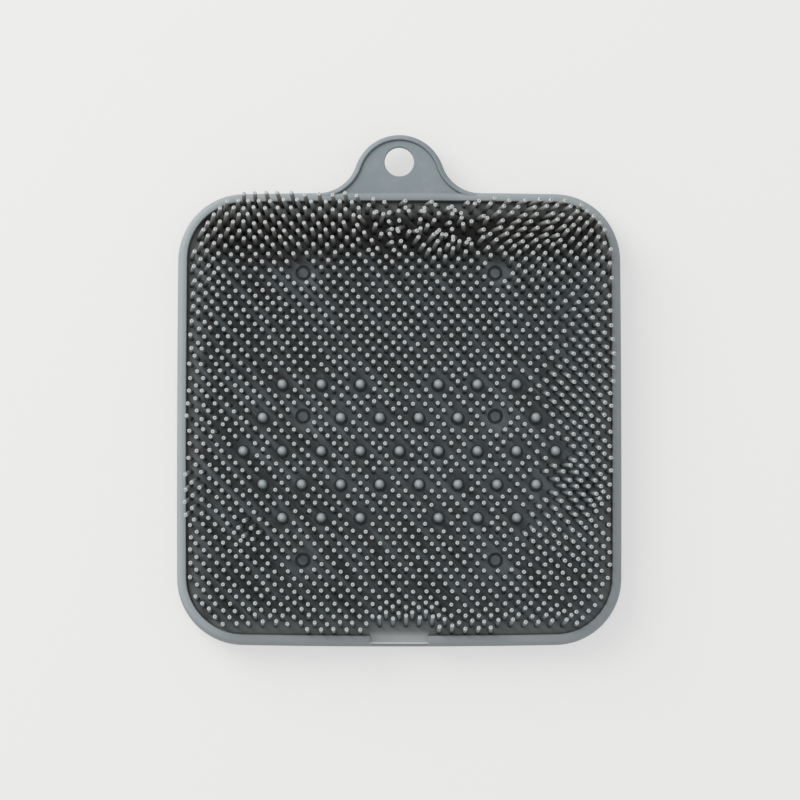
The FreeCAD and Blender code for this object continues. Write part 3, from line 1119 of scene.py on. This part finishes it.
def bristle_silicone():
    """The same silicone along a bristle: painted shade at its foot, a frosted pale cut tip and painted
    shade in the tip's dimple.

    Towards the tab and at the foot edge the shafts are warmer, from what has settled on them.
    """
    material, tree = new_material("bristle_silicone")
    place = tree.own_place()
    cloud = tree.speckle(place, 60.0)
    grain = tree.speckle(place, BRISTLE_GRAIN)
    along = tree.marked("along")
    unit_x, unit_y, _ = tree.split(tree.marked("unit", "Vector"))
    _, y, _ = tree.split(place)
    beyond = y / MM - BODY_CENTRE
    warmth = beyond.rising(WARM_TAB_END, 0.035, MOST_WARMTH)
    warmth = warmth + beyond.falling(WARM_FOOT_END, 0.08, MOST_WARMTH)
    shaft = mixed(tree, tree.marked("tint"), SILICONE_DEEP, SILICONE_PALE)
    shaft = mixed(tree, warmth, shaft, SHAFT_WARM)
    # Painted shade darkening each shaft towards its root
    shaft = mixed(tree, (along * 1.7 - 0.25).clipped(0.0, 1.0), PAINTED_FOOT_SHADE, shaft)
    frost = along.rising(0.88, 10.0) * (0.85 + cloud * 0.3)
    colour = mixed(tree, frost, shaft, TIP_PALE)
    # Painted shade in the tip's dimple
    dimple_shade = unit_x.distance(unit_y).falling(0.52, 4.0)
    colour = mixed(tree, dimple_shade, colour, TIP_DIMPLE_SHADE)
    finish_with(tree, colour, 0.5 + grain * 0.1, grain, distance=0.06 * MM, strength=0.3)
    return material


# ---- The pieces ----

BRISTLE_PROFILE = [
    (1.0, -0.03),
    (0.98, 0.36),
    (0.96, 0.70),
    (0.92, 0.97),
    (0.76, 1.0),
    (0.45, 0.997),
    (0.0, 0.96),
]

# The first two rows make a flat ring round the nub's foot, a hair above the floor, which carries a painted
# shadow
NUB_PROFILE = [
    (1.45, 0.0005),
    (1.04, 0.002),
    (1.08, -0.08),
    (1.02, 0.02),
    (1.0, 0.12),
    (0.98, 0.45),
    (0.96, 0.66),
    (0.93, 0.76),
    (0.84, 0.86),
    (0.68, 0.93),
    (0.46, 0.975),
    (0.22, 0.995),
    (0.0, 1.0),
]

CUP_PROFILE = [
    (0.0, 1.12),
    (0.43, 1.12),
    (0.435, 1.0),
    (0.46, 0.90),
    (0.53, 0.76),
    (0.66, 0.56),
    (0.80, 0.38),
    (0.92, 0.22),
    (0.985, 0.11),
    (1.0, 0.05),
    (0.99, 0.005),
    (0.965, 0.0),
    (0.93, 0.03),
    (0.84, 0.18),
    (0.70, 0.36),
    (0.52, 0.51),
    (0.33, 0.60),
    (0.15, 0.64),
    (0.0, 0.65),
]


def bristles(finish):
    places = bristle_places()
    points = place_mesh("bristle_places", places, FLOOR_LEVEL)
    lean = points.attributes.new("lean", "FLOAT_VECTOR", "POINT")
    for index, place in enumerate(places):
        tip = combed_lean(place) * MM
        lean.data[index].vector = (tip.x, tip.y, 0.0)
    shape = turned("bristle_shape", BRISTLE_PROFILE, BRISTLE_SIDES)
    return grown("bristles", bristle_tree(), points, {
        "Shape": shape,
        "Diameter": BRISTLE_DIAMETER * MM,
        "Height": BRISTLE_HEIGHT * MM,
        "Root Share": 0.3,
        "Scatter": 0.55 * MM,
        "Seed": 11,
        "Finish": finish,
    })


def nubs(tree, finish):
    shape = turned("nub_shape", NUB_PROFILE, NUB_SIDES)
    return grown("nubs", tree, place_mesh("nub_places", nub_places(), FLOOR_LEVEL), {
        "Shape": shape, "Diameter": NUB_DIAMETER * MM, "Height": NUB_HEIGHT * MM, "Finish": finish,
    })


def suction_cups(tree, finish):
    steps = [(place - (CUPS_EACH_WAY - 1) / 2.0) * CUP_PITCH for place in range(CUPS_EACH_WAY)]
    places = [Vector((across, BODY_CENTRE + along)) for across in steps for along in steps]
    shape = turned("cup_shape", CUP_PROFILE, CUP_SIDES)
    return grown("suction_cups", tree, place_mesh("cup_places", places, 0.0), {
        "Shape": shape, "Diameter": CUP_DIAMETER * MM, "Height": CUP_HEIGHT * MM, "Finish": finish,
    })


satin = body_silicone()
frosted = bristle_silicone()
planted = planted_tree()
body = mat_body()
body.data.materials.append(satin)
pieces = [body, bristles(frosted), nubs(planted, nub_silicone()), suction_cups(planted, satin)]
for piece in pieces:
    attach(piece, "root")
    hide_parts("scrubber_mat")


# ---- Floor, light and camera ----

def paper_floor():
    """Plain pale floor, far larger than the picture."""
    data = bpy.data.meshes.new("floor")
    turns = ((-1, -1), (1, -1), (1, 1), (-1, 1))
    corners = [(side * FLOOR_HALF, end * FLOOR_HALF, 0) for side, end in turns]
    data.from_pydata(corners, [], [(0, 1, 2, 3)])
    floor = bpy.data.objects.new("floor", data)
    bpy.context.scene.collection.objects.link(floor)
    material, tree = new_material("pale_paper")
    fibre = tree.speckle(tree.own_place(), 900.0)
    shader = tree.node("ShaderNodeBsdfDiffuse", None, {
        "Color": mixed(tree, fibre, (0.805, 0.795, 0.780, 1.0), (0.820, 0.810, 0.795, 1.0)),
    })
    glow = tree.node("ShaderNodeEmission", None, {"Color": (0.800, 0.798, 0.794, 1.0), "Strength": 1.0})
    seen = tree.node("ShaderNodeLightPath")
    share = seen + tree.other(seen, "Is Glossy Ray") + tree.other(seen, "Is Transmission Ray")
    share = share * FLOOR_GLOW
    both = tree.node("ShaderNodeMixShader", None, {0: share.clipped(0.0, 1.0), 1: shader, 2: glow})
    tree.node("ShaderNodeOutputMaterial", None, {"Surface": both})
    data.materials.append(material)
    return floor


def soft_light(name, place, target, size, power, colour):
    lamp = bpy.data.lights.new(name, "AREA")
    lamp.shape = "DISK"
    lamp.size = size
    lamp.energy = power
    lamp.color = colour
    made = bpy.data.objects.new(name, lamp)
    made.location = place
    made.rotation_euler = (Vector(target) - Vector(place)).to_track_quat("-Z", "Y").to_euler()
    bpy.context.scene.collection.objects.link(made)


def studio():
    world = bpy.data.worlds.new("studio")
    world.use_nodes = True
    background = world.node_tree.nodes["Background"]
    background.inputs["Color"].default_value = (0.96, 0.98, 1.0, 1.0)
    background.inputs["Strength"].default_value = SKY_LIGHT
    bpy.context.scene.world = world
    soft_light("window", WINDOW_PLACE, (0.0, 0.0, 0.0), WINDOW_SIZE, WINDOW_POWER, (1.0, 0.99, 0.97))


def camera():
    """Camera nearly straight above, tipped a little so that the drain's side shows."""
    tip = math.radians(CAMERA_TIP)
    target = Vector(CAMERA_AIM) * MM
    made = bpy.data.objects.new("camera", bpy.data.cameras.new("camera"))
    made.data.sensor_width = 36.0
    made.data.lens = made.data.sensor_width * CAMERA_DISTANCE / (FRAME_PIXELS * PIXEL_SIZE * MM)
    made.data.clip_end = 50.0
    made.location = target + Vector((0.0, -math.sin(tip), math.cos(tip))) * CAMERA_DISTANCE
    made.rotation_euler = (tip, 0.0, 0.0)
    bpy.context.scene.collection.objects.link(made)
    bpy.context.scene.camera = made


paper_floor()
studio()
camera()
bpy.context.scene.view_settings.view_transform = "Standard"
